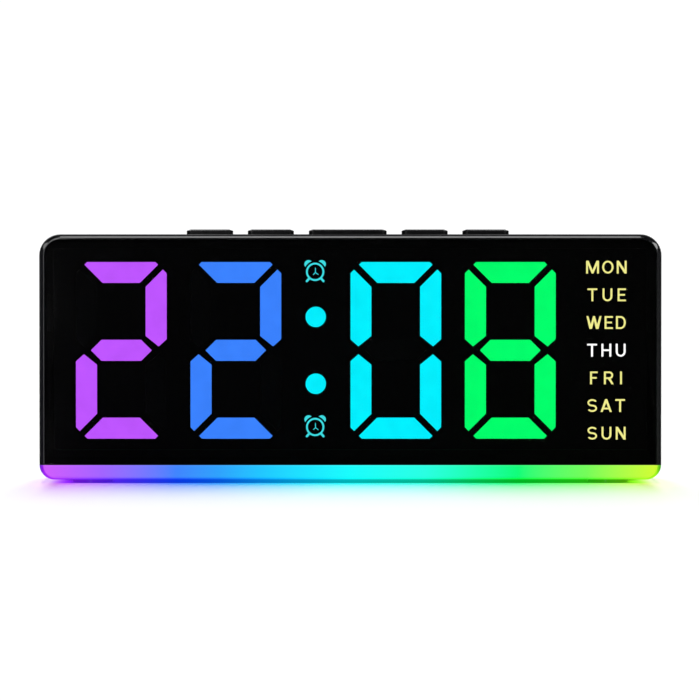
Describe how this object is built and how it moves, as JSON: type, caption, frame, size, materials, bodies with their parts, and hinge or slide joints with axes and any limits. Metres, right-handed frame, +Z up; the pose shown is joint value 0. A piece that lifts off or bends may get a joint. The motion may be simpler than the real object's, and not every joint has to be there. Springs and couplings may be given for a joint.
{
  "type": "digital desk clock",
  "caption": "Digital desk clock: dark lens over seven-segment digits and weekday words, keys on top, glowing light base on rubber feet, rear cover with power inlet and battery door.",
  "frame": {"origin": "on the desk, under the middle of the clock's outline seen from above", "axes": "+X to the viewer's right along the front, +Y from the front to the back, +Z up"},
  "size_m": [0.165, 0.038, 0.0674],
  "materials": {
    "case_plastic": "polished black",
    "rear_plastic": "fine matt texture, black",
    "lens_acrylic": "polished, smoked, see-through",
    "key_plastic": "satin black",
    "base_plastic": "milky, lit from inside",
    "adhesive": "black foam tape",
    "mask_ink": "black printed film",
    "reflector_plastic": "white, dull",
    "purple_filling": "milky, lit purple",
    "blue_filling": "milky, lit blue",
    "cyan_filling": "milky, lit cyan",
    "green_filling": "milky, lit green",
    "dark_filling": "smoky, unlit",
    "legend_filling": "milky",
    "circuit_board": "green solder mask",
    "led_package": "white package",
    "chip_resin": "black moulded resin",
    "header_plastic": "natural nylon",
    "ribbon_jacket": "grey ribbon cable",
    "buzzer_plastic": "black",
    "switch_plastic": "black",
    "plunger_plastic": "ivory",
    "plated_steel": "nickel plated",
    "can_aluminium": "brushed can",
    "black_screw": "black zinc",
    "foot_rubber": "dull"
  },
  "bodies": {
    "clock": {"alarm_diffusers": "legend_filling", "base_screws": "black_screw", "buzzer": "buzzer_plastic", "capacitor": "can_aluminium", "case_screws": "black_screw", "coin_cell": "plated_steel", "colon_dots": "cyan_filling", "controller_chip": "chip_resin", "display_board": "circuit_board", "display_board_screws": "plated_steel", "display_leds": "led_package", "display_ribbon": "ribbon_jacket", "far_left_dome": "plated_steel", "far_right_dome": "plated_steel", "front_lens": "lens_acrylic", "hour_tens_segments": "purple_filling", "hour_units_segments": "blue_filling", "key_board": "circuit_board", "key_board_screws": "plated_steel", "key_ribbon": "ribbon_jacket", "left_dome": "plated_steel", "lens_tape": "adhesive", "light_base": "base_plastic", "light_strip_board": "circuit_board", "light_strip_leds": "led_package", "main_board": "circuit_board", "main_board_screws": "plated_steel", "main_case": "case_plastic", "minute_tens_segments": "cyan_filling", "minute_units_segments": "green_filling", "negative_contact": "plated_steel", "positive_contact": "plated_steel", "quartz_crystal": "plated_steel", "rear_cover": "rear_plastic", "reflector_frame": "reflector_plastic", "ribbon_headers": "header_plastic", "right_dome": "plated_steel", "rubber_feet": "foot_rubber", "segment_mask": "mask_ink", "snooze_dome": "plated_steel", "strip_ribbon": "ribbon_jacket", "switch_bodies": "switch_plastic", "unlit_segments": "dark_filling", "usb_socket": "plated_steel", "weekday_diffusers": "legend_filling"},
    "far_left_key": {"far_left_button": "key_plastic", "far_left_plunger": "plunger_plastic"},
    "left_key": {"left_button": "key_plastic", "left_plunger": "plunger_plastic"},
    "snooze_key": {"snooze_button": "key_plastic", "snooze_plunger": "plunger_plastic"},
    "right_key": {"right_button": "key_plastic", "right_plunger": "plunger_plastic"},
    "far_right_key": {"far_right_button": "key_plastic", "far_right_plunger": "plunger_plastic"},
    "battery_door": {"battery_door": "rear_plastic"}
  },
  "joints": [
    {"name": "far_left_press", "type": "slide", "parent": "clock", "child": "far_left_key", "axis": [0, 0, -1], "range_m": [0, 0.0005], "stiffness_N_per_m": 1500, "deforming": ["far_left_dome"]},
    {"name": "left_press", "type": "slide", "parent": "clock", "child": "left_key", "axis": [0, 0, -1], "range_m": [0, 0.0005], "stiffness_N_per_m": 1500, "deforming": ["left_dome"]},
    {"name": "snooze_press", "type": "slide", "parent": "clock", "child": "snooze_key", "axis": [0, 0, -1], "range_m": [0, 0.0005], "stiffness_N_per_m": 1500, "deforming": ["snooze_dome"]},
    {"name": "right_press", "type": "slide", "parent": "clock", "child": "right_key", "axis": [0, 0, -1], "range_m": [0, 0.0005], "stiffness_N_per_m": 1500, "deforming": ["right_dome"]},
    {"name": "far_right_press", "type": "slide", "parent": "clock", "child": "far_right_key", "axis": [0, 0, -1], "range_m": [0, 0.0005], "stiffness_N_per_m": 1500, "deforming": ["far_right_dome"]},
    {"name": "door_twist", "type": "hinge", "parent": "clock", "child": "battery_door", "pos_m": [0, 0.019, 0.03611], "axis": [0, 1, 0], "range_deg": [0, 60]}
  ]
}
